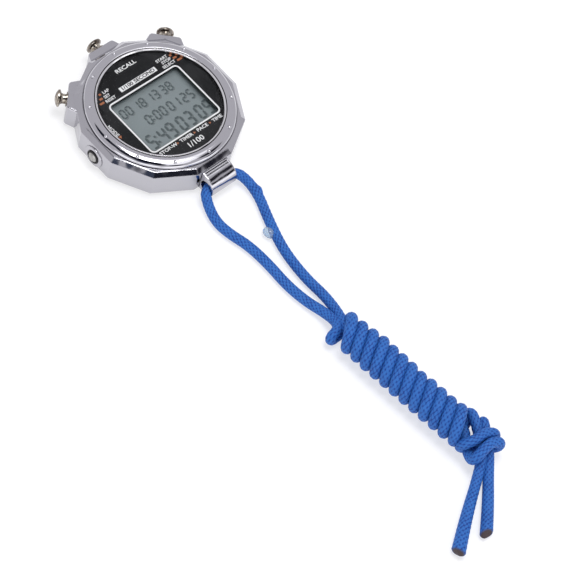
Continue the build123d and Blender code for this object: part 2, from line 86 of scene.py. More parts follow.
def polished_metal(name, shade, roughness, haze, edge_mm=0.18, wave=0.0, tarnish=None, blotch=0.0):
    """Buffed and plated metal: a spotless mirror, faint hazing from handling, softened edges, painted shade darkening
    its crevices.
    """
    made, tree, shader, place = new_material(name)
    # Handling marks are patches about 6 mm across; they only change how sharp the mirror is.
    patches = node(tree, "ShaderNodeTexNoise", {"Scale": 1 / (6 * MM), "Detail": 4.0, "Roughness": 0.6},
                   {"Vector": place})
    rough = node(tree, "ShaderNodeMapRange",
                 {"From Min": 0.35, "From Max": 0.7, "To Min": roughness, "To Max": roughness + haze},
                 {"Value": patches.outputs["Fac"]})
    # Buffing lines are near 0.05 mm apart; they are drawn at 0.25 mm so that they show at all.
    lines = node(tree, "ShaderNodeTexNoise", {"Scale": 1 / (0.25 * MM), "Detail": 2.0}, {"Vector": place})
    edge = node(tree, "ShaderNodeBevel", {"samples": 4, "Radius": edge_mm * MM})
    # Hand polishing leaves a casting's flats slightly wavy, so that reflections bend within a facet.
    swell = node(tree, "ShaderNodeTexNoise", {"Scale": 1 / (9 * MM), "Detail": 1.0}, {"Vector": place})
    wavy = node(tree, "ShaderNodeBump", {"Strength": wave, "Distance": 1.0 * MM},
                {"Height": swell.outputs["Fac"], "Normal": edge.outputs["Normal"]})
    bump = node(tree, "ShaderNodeBump", {"Strength": 0.03, "Distance": 0.02 * MM},
                {"Height": lines.outputs["Fac"], "Normal": wavy.outputs["Normal"]})
    # Tarnish lies in patches of about 2 mm. Painted shade: crevices narrower than a millimetre are darkened to near
    # black.
    spots = node(tree, "ShaderNodeTexNoise", {"Scale": 1 / (2 * MM), "Detail": 3.0, "Roughness": 0.6},
                 {"Vector": place})
    much = node(tree, "ShaderNodeMapRange", {"From Min": 0.42, "From Max": 0.62, "To Min": 0.0, "To Max": blotch},
                {"Value": spots.outputs["Fac"]})
    aged = node(tree, "ShaderNodeMix", {"data_type": "RGBA", 6: linear(shade), 7: linear(tarnish or shade)},
                {0: much.outputs["Result"]})
    # Painted shade: ambient occlusion turns the colour near black in crevices and joints, where shade falls.
    crevice_occlusion = node(tree, "ShaderNodeAmbientOcclusion", {"samples": 6, "Distance": 0.9 * MM})
    unshaded_share = node(tree, "ShaderNodeMapRange", {"From Min": 0.35, "From Max": 0.8}, {"Value": crevice_occlusion.outputs["AO"]})
    colour = node(tree, "ShaderNodeMix", {"data_type": "RGBA", 6: linear("#17171A")},
                  {0: unshaded_share.outputs["Result"], 7: aged.outputs[2]})
    finish_with(shader, {"Metallic": 1.0})
    tree.links.new(colour.outputs[2], shader.inputs["Base Color"])
    tree.links.new(rough.outputs["Result"], shader.inputs["Roughness"])
    tree.links.new(bump.outputs["Normal"], shader.inputs["Normal"])
    return made


def moulded(name, shade, roughness, ior=1.5, grain_mm=0.12, grain=0.15):
    """Moulded plastic or rubber: even colour, a fine spark-eroded grain, slightly uneven gloss."""
    made, tree, shader, place = new_material(name)
    texture = node(tree, "ShaderNodeTexNoise", {"Scale": 1 / (grain_mm * MM), "Detail": 3.0}, {"Vector": place})
    bump = node(tree, "ShaderNodeBump", {"Strength": grain, "Distance": 0.02 * MM},
                {"Height": texture.outputs["Fac"]})
    patches = node(tree, "ShaderNodeTexNoise", {"Scale": 1 / (4 * MM), "Detail": 2.0}, {"Vector": place})
    rough = node(tree, "ShaderNodeMapRange",
                 {"From Min": 0.3, "From Max": 0.7, "To Min": roughness - 0.05, "To Max": roughness + 0.07},
                 {"Value": patches.outputs["Fac"]})
    finish_with(shader, {"Base Color": linear(shade), "IOR": ior})
    tree.links.new(rough.outputs["Result"], shader.inputs["Roughness"])
    tree.links.new(bump.outputs["Normal"], shader.inputs["Normal"])
    return made


def brushed_steel(name, shade, roughness):
    """Stainless sheet with a straight grain along X."""
    made, tree, shader, place = new_material(name)
    # Grain lines are about 0.08 mm wide and several millimetres long.
    stretch = node(tree, "ShaderNodeMapping", {"Scale": (0.04, 1.0, 1.0)}, {"Vector": place})
    grain = node(tree, "ShaderNodeTexNoise", {"Scale": 1 / (0.12 * MM), "Detail": 3.0},
                 {"Vector": stretch.outputs["Vector"]})
    rough = node(tree, "ShaderNodeMapRange",
                 {"From Min": 0.3, "From Max": 0.7, "To Min": roughness - 0.06, "To Max": roughness + 0.1},
                 {"Value": grain.outputs["Fac"]})
    bump = node(tree, "ShaderNodeBump", {"Strength": 0.12, "Distance": 0.02 * MM}, {"Height": grain.outputs["Fac"]})
    finish_with(shader, {"Base Color": linear(shade), "Metallic": 1.0})
    tree.links.new(rough.outputs["Result"], shader.inputs["Roughness"])
    tree.links.new(bump.outputs["Normal"], shader.inputs["Normal"])
    return made


def clear_crystal():
    """Flat clear cover: it lets the dial show as if it were not there, but for a faint mirror gloss."""
    made, tree, shader, place = new_material("clear_crystal")
    wiped = node(tree, "ShaderNodeTexNoise", {"Scale": 1 / (8 * MM), "Detail": 1.0}, {"Vector": place})
    rough = node(tree, "ShaderNodeMapRange", {"From Min": 0.3, "From Max": 0.7, "To Min": 0.1, "To Max": 0.16},
                 {"Value": wiped.outputs["Fac"]})
    gloss = node(tree, "ShaderNodeBsdfGlossy", {}, {"Roughness": rough.outputs["Result"]})
    clear = node(tree, "ShaderNodeBsdfTransparent", {"Color": linear("#FBFCFC")})
    facing = node(tree, "ShaderNodeFresnel", {"IOR": 1.07})
    mixed = node(tree, "ShaderNodeMixShader", {}, {0: facing.outputs["Fac"], 1: clear.outputs["BSDF"],
                                                   2: gloss.outputs["BSDF"]})
    tree.links.new(mixed.outputs["Shader"], tree.nodes["Material Output"].inputs["Surface"])
    tree.nodes.remove(shader)
    return made


def display_cell():
    """Reflective display glass: grey-green, brighter in the middle and shaded under the window's edge."""
    made, tree, shader, place = new_material("display_glass")
    centre = node(tree, "ShaderNodeMapping", {"Location": (0.0, 2.6 * MM, 0.0)}, {"Vector": place})
    split = node(tree, "ShaderNodeSeparateXYZ", {}, {"Vector": centre.outputs["Vector"]})
    across = node(tree, "ShaderNodeMapRange",
                  {"interpolation_type": "SMOOTHSTEP", "From Min": 14.6 * MM, "From Max": 18.4 * MM},
                  {"Value": split.outputs["X"]})
    upper = node(tree, "ShaderNodeMapRange",
                 {"interpolation_type": "SMOOTHSTEP", "From Min": 10.2 * MM, "From Max": 14.0 * MM},
                 {"Value": split.outputs["Y"]})
    shade = node(tree, "ShaderNodeMath", {"operation": "MAXIMUM"},
                 {0: across.outputs["Result"], 1: upper.outputs["Result"]})
    cloud = node(tree, "ShaderNodeTexNoise", {"Scale": 1 / (9 * MM), "Detail": 1.0}, {"Vector": place})
    base = node(tree, "ShaderNodeMix", {"data_type": "RGBA", 6: linear("#7A8285"), 7: linear("#838C8E")},
                {0: cloud.outputs["Fac"]})
    colour = node(tree, "ShaderNodeMix", {"data_type": "RGBA", 7: linear("#6A7274")},
                  {0: shade.outputs["Value"], 6: base.outputs[2]})
    finish_with(shader, {"Roughness": 0.3, "IOR": 1.5})
    tree.links.new(colour.outputs[2], shader.inputs["Base Color"])
    return made


def braid(name, light, gap_shade_blue, melt):
    """Braided polyester cord: painted light on the yarns' crowns, painted shade in the gaps between yarns, a soft
    sheen.
    """
    made, tree, shader, place = new_material(name)
    # Painted light and shade: an attribute on the cord's mesh marks each top yarn's crown bright and the gaps dark,
    # and the blue follows it.
    height = node(tree, "ShaderNodeAttribute", {"attribute_name": "painted_crown_light"}).outputs["Fac"]
    burnt = node(tree, "ShaderNodeAttribute", {"attribute_name": "melted"}).outputs["Fac"]
    # Filaments are finer than a tenth of a millimetre; drawn at 0.18 mm they break up the light.
    fibre = node(tree, "ShaderNodeTexNoise", {"Scale": 1 / (0.18 * MM), "Detail": 3.0, "Roughness": 0.7},
                 {"Vector": place})
    patch = node(tree, "ShaderNodeTexNoise", {"Scale": 1 / (2.2 * MM), "Detail": 2.0}, {"Vector": place})
    crown = node(tree, "ShaderNodeMapRange",
                 {"interpolation_type": "SMOOTHSTEP", "From Min": 0.05, "From Max": 0.8}, {"Value": height})
    speckle = node(tree, "ShaderNodeMapRange", {"From Min": 0.3, "From Max": 0.7, "To Min": -0.18, "To Max": 0.18},
                   {"Value": fibre.outputs["Fac"]})
    worn = node(tree, "ShaderNodeMapRange", {"From Min": 0.3, "From Max": 0.7, "To Min": -0.12, "To Max": 0.12},
                {"Value": patch.outputs["Fac"]})
    first = node(tree, "ShaderNodeMath", {"operation": "ADD"},
                 {0: crown.outputs["Result"], 1: speckle.outputs["Result"]})
    total = node(tree, "ShaderNodeMath", {"operation": "ADD", "use_clamp": True},
                 {0: first.outputs["Value"], 1: worn.outputs["Result"]})
    blue = node(tree, "ShaderNodeMix", {"data_type": "RGBA", 6: linear(gap_shade_blue), 7: linear(light)},
                {0: total.outputs["Value"]})
    colour = node(tree, "ShaderNodeMix", {"data_type": "RGBA", 7: linear(melt)}, {0: burnt, 6: blue.outputs[2]})
    bump = node(tree, "ShaderNodeBump", {"Strength": 0.5, "Distance": 0.05 * MM}, {"Height": fibre.outputs["Fac"]})
    finish_with(shader, {"Roughness": 0.62, "IOR": 1.5, "Specular IOR Level": 0.25, "Sheen Weight": 0.06,
                         "Sheen Roughness": 0.4, "Sheen Tint": linear("#9DC0FF")})
    tree.links.new(colour.outputs[2], shader.inputs["Base Color"])
    tree.links.new(bump.outputs["Normal"], shader.inputs["Normal"])
    return made


def clear_glue():
    """Set glue: clear, faintly blue, with a wet gloss."""
    made, tree, shader, place = new_material("clear_glue")
    haze = node(tree, "ShaderNodeTexNoise", {"Scale": 1 / (0.8 * MM), "Detail": 2.0}, {"Vector": place})
    tint = node(tree, "ShaderNodeMix", {"data_type": "RGBA", 6: linear("#BFDCF4"), 7: linear("#E4F1FB")},
                {0: haze.outputs["Fac"]})
    finish_with(shader, {"Roughness": 0.08, "IOR": 1.4, "Transmission Weight": 0.75})
    tree.links.new(tint.outputs[2], shader.inputs["Base Color"])
    return made


def ink(name, shade, roughness=0.55):
    """Screen-printed ink, a touch uneven where the mesh of the screen has left it thin."""
    made, tree, shader, place = new_material(name)
    screen = node(tree, "ShaderNodeTexNoise", {"Scale": 1 / (0.3 * MM), "Detail": 2.0}, {"Vector": place})
    thin = node(tree, "ShaderNodeMapRange", {"From Min": 0.3, "From Max": 0.75, "To Min": 0.0, "To Max": 0.16},
                {"Value": screen.outputs["Fac"]})
    colour = node(tree, "ShaderNodeMix", {"data_type": "RGBA", 6: linear(shade), 7: linear("#2A2A2E")},
                  {0: thin.outputs["Result"]})
    finish_with(shader, {"Roughness": roughness, "IOR": 1.5})
    tree.links.new(colour.outputs[2], shader.inputs["Base Color"])
    return made


CHROME = polished_metal("chrome_plated_zinc", "#B8B7BD", 0.06, 0.07, 0.6, 0.5)
CHROME_RING = polished_metal("chrome_plated_ring", "#BFBEC4", 0.05, 0.05, 0.06)
NICKEL = polished_metal("nickel_plated_brass", "#B9B1A6", 0.1, 0.1, 0.15, 0.2, "#4E4036", 0.85)
BRIGHT = polished_metal("bright_nickel_trim", "#E2E1E4", 0.08, 0.05, 0.06)
STEEL = brushed_steel("brushed_stainless", "#B4B4B6", 0.26)
SPRING_STEEL = polished_metal("spring_steel", "#A9A8A6", 0.22, 0.1, 0.03)
BRASS = polished_metal("bare_brass", "#C9A45C", 0.25, 0.1, 0.05)
BLACK_PLASTIC = moulded("black_polycarbonate", "#2A2A2D", 0.45)
DIAL_PLASTIC = moulded("dial_lacquer", "#131317", 0.55, ior=1.35, grain_mm=0.3, grain=0.05)
RUBBER = moulded("nitrile_rubber", "#18181A", 0.6)
ELASTOMER = moulded("zebra_elastomer", "#B98A8A", 0.6)
LAMINATE = moulded("green_solder_mask", "#1E5B36", 0.3)
EPOXY = moulded("potting_epoxy", "#0E0E0F", 0.15)
REFLECTOR = brushed_steel("reflector_foil", "#BFC2C0", 0.4)
LENS = clear_crystal()
CELL = display_cell()
CORD = braid("braided_polyester", "#306AB8", "#0B2D7C", "#453A3C")
WHITE_INK = ink("white_ink", "#E9E9EA")
ORANGE_INK = ink("orange_ink", "#A8623A")
DARK_INK = ink("dark_ink", "#26262A")
GLUE = clear_glue()
SEGMENT = ink("display_segment", "#465053", 0.4)
SEGMENT_SHADOW = ink("display_shadow", "#697173", 0.4)

FINISHES = {
    CHROME: ("front_case", "lanyard_lug"),
    CHROME_RING: ("bezel_ring",),
    BRIGHT: ("dial_trim_ring",),
    NICKEL: ("recall_pusher", "start_pusher", "reset_pusher",
             "recall_pusher_bush", "start_pusher_bush", "reset_pusher_bush"),
    LENS: ("crystal",),
    DIAL_PLASTIC: ("dial_plate",),
    # Painted shade: the mode button's bush takes the black rubber, which draws the dark ring seen round the button's
    # dome.
    RUBBER: ("mode_bush", "crystal_gasket", "cover_gasket", "recall_seal", "start_seal", "reset_seal"),
    CELL: ("lcd_panel",),
    REFLECTOR: ("lcd_reflector",),
    BLACK_PLASTIC: ("movement_frame", "spacer_ring"),
    LAMINATE: ("circuit_board",),
    EPOXY: ("bonded_chip",),
    ELASTOMER: ("zebra_strip_upper", "zebra_strip_lower"),
    STEEL: ("battery", "rear_cover", "rear_cover_screws", "board_screws", "quartz_can"),
    SPRING_STEEL: ("mode_button", "battery_clip", "battery_contact", "buzzer_spring",
                   "mode_spring", "mode_clip", "mode_switch_leaf",
                   "recall_spring", "start_spring", "reset_spring", "recall_clip", "start_clip", "reset_clip",
                   "recall_switch_leaf", "start_switch_leaf", "reset_switch_leaf"),
    BRASS: ("buzzer_disc",),
}
for finish, names in FINISHES.items():
    for name in names:
        part = nodes[name]
        part.data.materials.clear()
        part.data.materials.append(finish)
# The lens lets the studio light through to the dial instead of shading it.
nodes["crystal"].visible_shadow = False


# ---------------------------------------------------------------- small helpers

def add_piece(name, mesh, finish, body):
    """Puts a finished mesh in the scene, riding on a body."""
    piece = bpy.data.objects.new(name, mesh)
    scene.collection.objects.link(piece)
    mesh.materials.clear()
    mesh.materials.append(finish)
    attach(piece, body)
    return piece


def mesh_from(bm, name, smooth=False):
    mesh = bpy.data.meshes.new(name)
    bmesh.ops.recalc_face_normals(bm, faces=bm.faces)
    bm.to_mesh(mesh)
    bm.free()
    for face in mesh.polygons:
        face.use_smooth = smooth
    return mesh


def thicken(bm, faces, thick):
    """Raises flat faces into a thin layer, in millimetres."""
    rise = bmesh.ops.extrude_face_region(bm, geom=faces)
    tops = [v for v in rise["geom"] if isinstance(v, bmesh.types.BMVert)]
    bmesh.ops.translate(bm, verts=tops, vec=(0, 0, thick * MM))


def flat_shape(bm, corners, z, thick):
    """A thin raised shape with these corners, in millimetres, its underside at z."""
    ring = [bm.verts.new((x * MM, y * MM, z * MM)) for x, y in corners]
    thicken(bm, [bm.faces.new(ring)], thick)


def skin(bm, rings):
    """Joins rings of points into a closed tube."""
    count = len(rings[0])
    for low, high in zip(rings, rings[1:]):
        for m in range(count):
            bm.faces.new((low[m], low[(m + 1) % count], high[(m + 1) % count], high[m]))
    bm.faces.new(list(reversed(rings[0])))
    bm.faces.new(rings[-1])


def lettering(bm, text, height, x, y, turn, z, align="CENTER", stretch=1.0, weight=0.0):
    """Adds a word to bm: capital height, place and turn in millimetres and degrees."""
    curve = bpy.data.curves.new("word", "FONT")
    curve.body = text
    curve.align_x = align
    curve.align_y = "CENTER"
    curve.size = height / 0.7 * MM
    curve.extrude = 0.006 * MM
    curve.offset = weight * MM
    curve.resolution_u = 3
    holder = bpy.data.objects.new("word", curve)
    scene.collection.objects.link(holder)
    bpy.context.view_layer.update()
    mesh = bpy.data.meshes.new_from_object(holder.evaluated_get(bpy.context.evaluated_depsgraph_get()))
    place = Matrix.Translation((x * MM, y * MM, z * MM)) @ Matrix.Rotation(math.radians(turn), 4, "Z")
    mesh.transform(place @ Matrix.Diagonal((stretch, 1.0, 1.0, 1.0)))
    bm.from_mesh(mesh)
    bpy.data.objects.remove(holder)
    bpy.data.curves.remove(curve)
    bpy.data.meshes.remove(mesh)


# ---------------------------------------------------------------- camera, light and floor

def aim_camera():
    """Looks down along the lanyard from the lower left, as one looks at a watch laid on a table."""
    turn, lift, roll = (math.radians(a) for a in (-59.563, 56.614, 19.835))
    aim, distance = Vector((-8.576, -87.280, 0.7)) * MM, 0.9
    back = Vector((math.sin(turn) * math.cos(lift), -math.cos(turn) * math.cos(lift), math.sin(lift)))
    right = Vector((math.cos(turn), math.sin(turn), 0.0))
    up = back.cross(right)
    x_axis = right * math.cos(roll) + up * math.sin(roll)
    y_axis = up * math.cos(roll) - right * math.sin(roll)
    place = aim + back * distance
    lens = bpy.data.cameras.new("camera")
    lens.lens = 147.387
    lens.sensor_width = 36
    lens.clip_start = 0.05
    lens.clip_end = 20
    camera = bpy.data.objects.new("camera", lens)
    turned = Matrix((x_axis, y_axis, back)).transposed().to_4x4()
    camera.matrix_world = Matrix.Translation(place) @ turned
    scene.collection.objects.link(camera)
    scene.camera = camera


def softbox(name, place, aim, size, power, shade="#FFFFFF"):
    light = bpy.data.lights.new(name, "AREA")
    light.shape = "RECTANGLE"
    light.size, light.size_y = size
    light.energy = power
    light.color = linear(shade)[:3]
    holder = bpy.data.objects.new(name, light)
    holder.location = place
    holder.rotation_euler = (Vector(aim) - Vector(place)).to_track_quat("-Z", "Y").to_euler()
    scene.collection.objects.link(holder)


def studio():
    """White sweep, a soft box overhead, and a pale room with lamps and dark panels for the chrome to mirror."""
    world = bpy.data.worlds.new("studio")
    world.use_nodes = True
    scene.world = world
    tree = world.node_tree
    out = tree.nodes["Background"]
    way = node(tree, "ShaderNodeTexCoord").outputs["Generated"]

    def patch(turn, lift, inner, outer):
        """1 inside a round patch of the room in this direction, fading to 0 at its edge; angles in degrees."""
        t, e = math.radians(turn), math.radians(lift)
        centre = (math.sin(t) * math.cos(e), -math.cos(t) * math.cos(e), math.sin(e))
        near = node(tree, "ShaderNodeVectorMath", {"operation": "DOT_PRODUCT", 1: centre}, {0: way})
        return node(tree, "ShaderNodeMapRange",
                    {"interpolation_type": "SMOOTHSTEP", "From Min": math.cos(math.radians(outer)),
                     "From Max": math.cos(math.radians(inner))}, {"Value": near.outputs["Value"]}).outputs["Result"]

    # Walls and ceiling are pale. White lamps hang in an arch over the near right and stand low along the
    # near side; dark panels between them give the chrome its bands. Each row is the turning direction, the
    # height, the full radius and the outer radius in degrees, then the tone.
    base = node(tree, "ShaderNodeRGB")
    base.outputs["Color"].default_value = linear("#DCDBDF")
    room = base.outputs["Color"]
    arch_start, arch, low_lamp = (1.6, 1.6, 1.62, 1.0), (1.7, 1.7, 1.72, 1.0), (1.9, 1.9, 1.92, 1.0)
    black, charcoal, slate = (0.016, 0.018, 0.03, 1.0), (0.02, 0.02, 0.03, 1.0), (0.07, 0.085, 0.13, 1.0)
    for turn, lift, inner, outer, tone in (
        (104, 71, 10, 13, arch_start), (32, 76, 13, 17, arch), (2, 67, 12, 15, arch),
        (-78, 13, 13, 17, low_lamp), (-48, 13, 13, 17, low_lamp), (-18, 12, 13, 17, low_lamp),
        (12, 9, 13, 17, low_lamp), (-68, 69, 18, 21, black), (-58, 46, 6, 9, slate), (-34, 52, 6, 9, black),
        (-12, 41, 6, 9, black), (50, 50, 8, 13, charcoal), (-142, 63, 11, 14, black), (32, 24, 6, 9, charcoal),
        (31, 7, 7, 10, low_lamp),
    ):
        room = node(tree, "ShaderNodeMix", {"data_type": "RGBA", 7: tone},
                    {0: patch(turn, lift, inner, outer), 6: room}).outputs[2]
    tree.links.new(room, out.inputs["Color"])
    out.inputs["Strength"].default_value = 1.0

    softbox("overhead_softbox", (0.10, 0.0, 1.25), (-0.01, -0.07, 0), (0.55, 0.55), 7.5)

    bm = bmesh.new()
    bmesh.ops.create_grid(bm, x_segments=2, y_segments=2, size=4.0)
    bmesh.ops.translate(bm, verts=bm.verts, vec=(0, 0, -0.05 * MM))
    floor = bpy.data.objects.new("floor", mesh_from(bm, "floor"))
    scene.collection.objects.link(floor)
    made, tree, shader, place = new_material("white_sweep")
    tone = node(tree, "ShaderNodeTexNoise", {"Scale": 3.0, "Detail": 1.0}, {"Vector": place})
    paper = node(tree, "ShaderNodeMix", {"data_type": "RGBA", 6: linear("#A9A9AB"), 7: linear("#ADADAF")},
                 {0: tone.outputs["Fac"]})
    # Lit from behind as well, so that shadows on it stay faint.
    finish_with(shader, {"Roughness": 0.9, "Specular IOR Level": 0.1, "Emission Color": linear("#FFFFFF"),
                         "Emission Strength": 0.62})
    tree.links.new(paper.outputs[2], shader.inputs["Base Color"])
    floor.data.materials.append(made)
    scene.view_settings.view_transform = "Standard"


aim_camera()
studio()


# ---------------------------------------------------------------- the lanyard

CORD_D = 4.1
LEFT_ROUTE = (
    (0.0, -36.1, 5.4), (-7.0, -35.9, 5.2), (-9.9, -42.0, 2.6), (-12.0, -49.4, 2.12), (-11.2, -56.6, 2.12),
    (-8.9, -64.6, 2.12), (-8.3, -75.2, 2.12), (-8.9, -86.4, 2.12), (-7.8, -96.4, 2.2), (-6.0, -104.0, 3.0),
    (-6.0, -110.2, 4.8), (-8.2, -114.0, 6.4), (-13.0, -114.6, 5.6), (-12.2, -114.9, 2.2),
)
RIGHT_ROUTE = (
    (0.0, -36.1, 5.4), (8.0, -36.3, 5.2), (10.9, -42.2, 2.8), (9.8, -50.2, 2.12), (6.7, -57.6, 2.12),
    (3.8, -65.2, 2.12), (1.2, -73.4, 2.12), (-0.2, -82.0, 2.12), (-0.7, -90.6, 2.12), (-0.3, -98.8, 2.3),
    (-2.2, -107.6, 4.0), (-5.4, -114.4, 6.4), (-7.4, -120.0, 7.0), (-5.6, -135.0, 7.2), (-3.6, -152.0, 7.4),
)
# The winding strand leaves its last turn, dives under the two bands of the knot and ends as the left tail.
LEFT_KNOT = (
    (6.4, -170.0, 6.2), (6.4, -171.4, 8.4), (4.9, -174.4, 8.9), (3.0, -178.4, 7.8), (0.6, -182.8, 6.7),
    (-2.0, -186.0, 5.5), (-4.4, -188.2, 4.2), (-9.4, -191.6, 2.5), (-18.4, -196.9, 2.3), (-27.4, -202.5, 2.6),
    (-36.0, -208.2, 2.85),
)
# The core strand comes out on the left, wraps twice round everything, and tucks under its own two bands.
RIGHT_KNOT = (
    (0.2, -167.0, 6.6), (1.6, -173.6, 4.6), (-1.6, -177.2, 4.6), (-4.4, -180.8, 5.0), (-6.4, -184.8, 5.6),
    (-5.8, -186.0, 9.0), (-1.6, -185.4, 11.0), (2.6, -185.2, 10.6), (6.2, -186.8, 9.0), (6.6, -187.0, 5.0),
    (3.8, -184.0, 2.4), (-0.4, -180.4, 2.4), (-4.2, -177.8, 2.8), (-6.2, -178.0, 7.0), (-5.0, -179.8, 10.2),
    (-1.2, -180.9, 11.1), (3.0, -180.8, 10.9), (7.2, -183.0, 9.2), (8.0, -183.4, 4.8), (7.4, -180.6, 2.6),
    (8.2, -177.2, 3.4), (8.4, -175.8, 7.2), (6.6, -178.4, 8.0), (4.2, -181.8, 6.2), (2.4, -185.4, 5.4),
    (0.0, -188.4, 4.4), (-4.8, -193.4, 2.6), (-9.8, -198.4, 2.25), (-15.9, -204.0, 2.4), (-22.1, -209.4, 2.55),
)


def winding():
    """Twelve turns round the core strand: steep across the top, straight back underneath."""
    first, last = Vector((-7.4, -118.2)), Vector((-1.5, -171.2))
    along = (last - first).normalized()
    side = Vector((-along.y, along.x))
    pitch = (last - first).length / 11
    start, end, per_turn = -0.21, 11.94, 14
    count = round((end - start) * per_turn)
    points = []
    for i in range(count + 1):
        turns = start + (end - start) * i / count
        angle = 2 * math.pi * turns
        wound = min(1.0, max(0.0, turns / 12))
        early = math.exp(-max(0.0, turns) / 1.5)
        slant = (0.57 + 0.14 * early) * pitch
        radius = 4.55 + 0.75 * wound + 0.10 * math.sin(2.3 * turns + 1)
        # The early turns bulge to the right, where the lead-in lies under them.
        bulge = 0.1 + 0.75 * math.exp(-((turns - 3.2) / 2.6) ** 2)
        reach = radius * 1.034 + bulge
        s = pitch * (turns - 0.535) + (slant + 1.0) * (1 - math.cos(angle)) / 2 - 0.6 - 0.8 * early
        out = reach * math.cos(angle) + 0.5 * early + bulge
        flat = first + along * s + side * out
        points.append((flat.x, flat.y, radius * 1.034 + CORD_D / 2 + 0.3 + radius * 1.034 * math.sin(angle)))
    return points


def smooth_line(name, route):
    """The points, in metres, of the smooth line that a route's points control."""
    curve = bpy.data.curves.new(name, "CURVE")
    curve.dimensions = "3D"
    curve.resolution_u = 24
    spline = curve.splines.new("NURBS")
    spline.points.add(len(route) - 1)
    for point, (x, y, z) in zip(spline.points, route):
        point.co = (x * MM, y * MM, z * MM, 1.0)
    spline.order_u = 3
    spline.use_endpoint_u = True
    holder = bpy.data.objects.new(name, curve)
    scene.collection.objects.link(holder)
    bpy.context.view_layer.update()
    mesh = bpy.data.meshes.new_from_object(holder.evaluated_get(bpy.context.evaluated_depsgraph_get()))
    points = [v.co.copy() for v in mesh.vertices]
    bpy.data.objects.remove(holder)
    bpy.data.curves.remove(curve)
    bpy.data.meshes.remove(mesh)
    return points


def even_stations(points, step):
    """Stations a step apart along a line of points."""
    stations, left = [points[0].copy()], step
    for a, b in zip(points, points[1:]):
        run = (b - a).length
        while run > left and run > 0:
            a = a.lerp(b, left / run)
            stations.append(a.copy())
            run = (b - a).length
            left = step
        left -= run
    return stations


def yarn(offset):
    """How far a yarn's crown stands up, across its width."""
    return 0.17 * math.sqrt(max(0.0, 1 - (2 * offset) ** 2))


def braided_cord(name, route, bulge=None, splay=0.0, cut=(0.0, 0.0), wound=None):
    """Sixteen-carrier braid along a route: eight yarns each way, over one and under one."""
    line = smooth_line(name, route)
    step, around, lay = 0.36 * MM, 48, 2.1
    stations = even_stations(line, step)
    total = len(stations)
    bm = bmesh.new()
    painted_crown_light = bm.verts.layers.float.new("painted_crown_light")
    melted = bm.verts.layers.float.new("melted")
    ahead = (stations[1] - stations[0]).normalized()
    spoke = ahead.orthogonal().normalized()
    rings = []
    for k, centre in enumerate(stations):
        onward = (stations[min(k + 1, total - 1)] - stations[max(k - 1, 0)]).normalized()
        spoke = ahead.rotation_difference(onward) @ spoke
        spoke = (spoke - onward * spoke.dot(onward)).normalized()
        other = onward.cross(spoke)
        ahead = onward
        s = k * step / MM
        from_end = (total - 1 - k) * step / MM
        # The cut end is sealed with a flame: it shrinks and rounds over in the last millimetre.
        seal = max(0.0, 1 - from_end / 0.9)
        ring = []
        for m in range(around):
            turn = m / around
            a, b = 8 * turn + s / lay, 8 * turn - s / lay
            i, j = round(a), round(b)
            one = 0.075 * math.cos(math.pi * (b - i)) + yarn(a - i)
            two = -0.075 * math.cos(math.pi * (a - j)) + yarn(b - j)
            rise = max(one, two)
            offset = a - i if one > two else b - j
            radius = CORD_D / 2 - 0.19 + rise * (1 - seal)
            radius *= math.sqrt(max(0.0, 1 - 0.75 * seal ** 2))
            radius += splay * max(0.0, 1 - from_end / 28) * (1 - seal)
            if bulge:
                where, width, swell, facing = bulge
                side = 0.5 + 0.5 * math.cos(2 * math.pi * (turn - facing))
                radius += swell * side * math.exp(-((s - where) / width) ** 2)
            angle = 2 * math.pi * turn
            if wound:
                radius += wound[2] * min(1.0, max(0.0, (s - wound[0]) / 8)) * min(1.0, max(0.0, (wound[1] - s) / 8))
            # The cut is oblique: one side of the end is longer than the other.
            lean = cut[0] * math.cos(2 * math.pi * (turn - cut[1])) * max(0.0, 1 - from_end / 6)
            vert = bm.verts.new(centre + (spoke * math.cos(angle) + other * math.sin(angle)) * (radius * MM)
                                + onward * (lean * MM))
            # Painted light and shade for the colour: bright along the middle of the top yarn's crown, dark towards
            # its sides and in the gaps.
            vert[painted_crown_light] = max(0.0, 1 - (2 * abs(offset)) ** 1.6) * min(1.0, max(0.0, (rise + 0.03) / 0.25))
            vert[melted] = min(1.0, seal * 2.5)
            ring.append(vert)
        rings.append(ring)
    skin(bm, rings)
    return mesh_from(bm, name, smooth=True), line


def lanyard():
    """Both strands start inside the lug's eye, where they meet."""
    for name, route, bulge, splay, cut, wound, replaced in (
        ("winding_strand", LEFT_ROUTE + tuple(winding()) + LEFT_KNOT, None, 0.7, (0.6, 0.0), (96, 498, 0.22),
         ("cord_left_leg", "cord_coil", "cord_left_tail")),
        ("core_strand", RIGHT_ROUTE + RIGHT_KNOT, (19.5, 1.6, 0.7, 0.0), 0.4, (1.1, 0.0), None,
         ("cord_right_leg", "cord_knot", "cord_right_tail")),
    ):
        mesh, line = braided_cord(name, route, bulge, splay, cut, wound)
        piece = add_piece(name, mesh, CORD, "case")
        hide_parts(*replaced)


lanyard()


# ---------------------------------------------------------------- what is printed on the dial

DIAL_Z = 14.2
INK_THICK = 0.012
WORD_LIFT = 0.006
SEGMENT_THICK = 0.01


def outline_band(bm, half_w, half_h, corner, width, centre_y, z):
    """A rounded frame of printed line."""
    def loop(grow):
        points = []
        for cx, cy, start in ((1, 1, 0), (-1, 1, 90), (-1, -1, 180), (1, -1, 270)):
            for step in range(7):
                a = math.radians(start + 15 * step)
                r = corner + grow
                points.append(((half_w - corner) * cx + r * math.cos(a),
                               centre_y + (half_h - corner) * cy + r * math.sin(a)))
        return points
    inner = [bm.verts.new((x * MM, y * MM, z * MM)) for x, y in loop(-width / 2)]
    outer = [bm.verts.new((x * MM, y * MM, z * MM)) for x, y in loop(width / 2)]
    count = len(inner)
    faces = [bm.faces.new((inner[k], inner[(k + 1) % count], outer[(k + 1) % count], outer[k])) for k in range(count)]
    thicken(bm, faces, INK_THICK)


